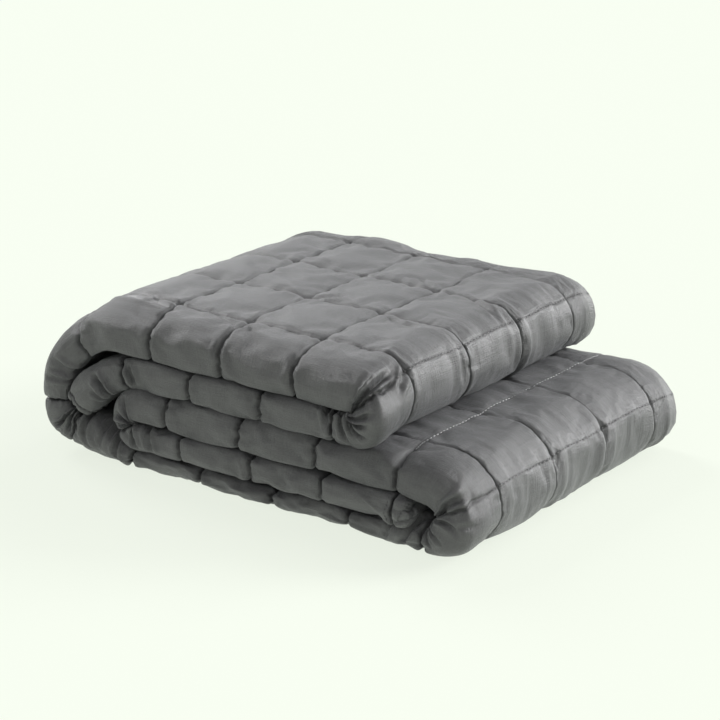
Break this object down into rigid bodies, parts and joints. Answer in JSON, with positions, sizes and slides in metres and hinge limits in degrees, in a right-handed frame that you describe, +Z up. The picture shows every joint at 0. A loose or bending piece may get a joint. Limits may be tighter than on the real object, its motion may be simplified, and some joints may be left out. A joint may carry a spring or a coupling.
{
  "type": "weighted blanket",
  "caption": "Quilted weighted blanket folded lengthwise into a rounded front edge, then crosswise into a stack of layers, one free end tucked inside each half of the stack.",
  "frame": {"origin": "middle of the bounding box, on the surface the blanket rests on", "axes": "+Z up, +X along the folded layers towards the two stacked folds, -Y towards the rounded front edge"},
  "size_m": [0.4424, 0.3196, 0.1402],
  "materials": {
    "fabric": "mid grey cotton sateen with a soft sheen, quilted in squares with grey thread"
  },
  "bodies": {
    "root": {"blanket": "fabric"}
  },
  "joints": []
}
